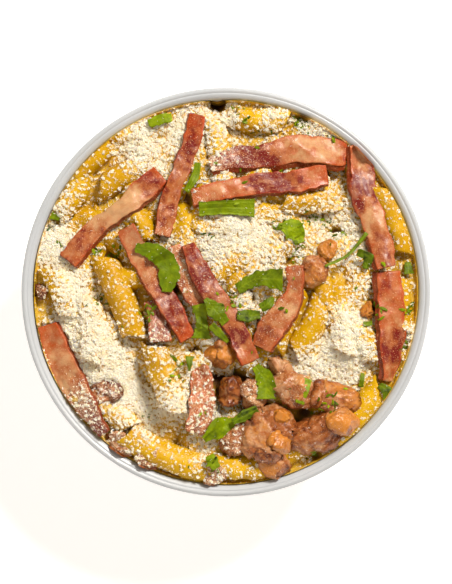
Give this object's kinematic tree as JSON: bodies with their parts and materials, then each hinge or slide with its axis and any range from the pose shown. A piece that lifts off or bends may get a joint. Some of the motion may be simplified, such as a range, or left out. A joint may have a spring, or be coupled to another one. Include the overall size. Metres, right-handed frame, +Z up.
{
  "type": "pasta carbonara in a paper bowl",
  "caption": "Short tube pasta carbonara with ham strips, fried bacon pieces, grated hard cheese and parsley, heaped to the rim of a round white paper bowl.",
  "frame": {"origin": "centre of the underside of the bowl's foot ring", "axes": "+Z up out of the bowl, +X towards the side where two long ham strips lie end to end along the rim, +Y towards the side where a ham strip points at the rim"},
  "size_m": [0.15, 0.15, 0.0736],
  "materials": {
    "white_paper": "satin",
    "cooked_pasta": "satin",
    "cooked_ham": "satin",
    "fried_bacon": "satin",
    "parsley_leaf": "satin",
    "grated_cheese": "matte"
  },
  "bodies": {
    "root": {"bowl": "white_paper", "pasta_heap": "cooked_pasta", "bacon_piece_01": "fried_bacon", "bacon_piece_02": "fried_bacon", "bacon_piece_03": "fried_bacon", "bacon_piece_04": "fried_bacon", "bacon_piece_05": "fried_bacon", "bacon_piece_06": "fried_bacon", "bacon_piece_07": "fried_bacon", "bacon_piece_08": "fried_bacon", "bacon_piece_09": "fried_bacon", "bacon_piece_10": "fried_bacon", "bacon_piece_11": "fried_bacon", "bacon_piece_12": "fried_bacon", "bacon_piece_13": "fried_bacon", "bacon_piece_14": "fried_bacon", "bacon_piece_15": "fried_bacon", "bacon_piece_16": "fried_bacon", "bacon_piece_17": "fried_bacon", "bacon_piece_18": "fried_bacon", "bacon_piece_19": "fried_bacon", "bacon_piece_20": "fried_bacon", "bacon_piece_21": "fried_bacon", "ham_strip_01": "cooked_ham", "ham_strip_02": "cooked_ham", "ham_strip_03": "cooked_ham", "ham_strip_04": "cooked_ham", "ham_strip_05": "cooked_ham", "ham_strip_06": "cooked_ham", "ham_strip_07": "cooked_ham", "ham_strip_08": "cooked_ham", "ham_strip_09": "cooked_ham", "ham_strip_10": "cooked_ham", "ham_strip_11": "cooked_ham", "ham_strip_12": "cooked_ham", "ham_strip_13": "cooked_ham", "parsley_01": "parsley_leaf", "parsley_02": "parsley_leaf", "parsley_03": "parsley_leaf", "parsley_04": "parsley_leaf", "parsley_05": "parsley_leaf", "parsley_06": "parsley_leaf", "parsley_07": "parsley_leaf", "parsley_08": "parsley_leaf", "parsley_09": "parsley_leaf", "parsley_10": "parsley_leaf", "parsley_11": "parsley_leaf", "parsley_12": "parsley_leaf", "parsley_13": "parsley_leaf", "parsley_14": "parsley_leaf", "parsley_15": "parsley_leaf", "parsley_16": "parsley_leaf", "parsley_17": "parsley_leaf", "parsley_18": "parsley_leaf", "parsley_19": "parsley_leaf", "parsley_20": "parsley_leaf", "parsley_21": "parsley_leaf", "parsley_22": "parsley_leaf", "parsley_23": "parsley_leaf", "parsley_24": "parsley_leaf"}
  },
  "joints": []
}
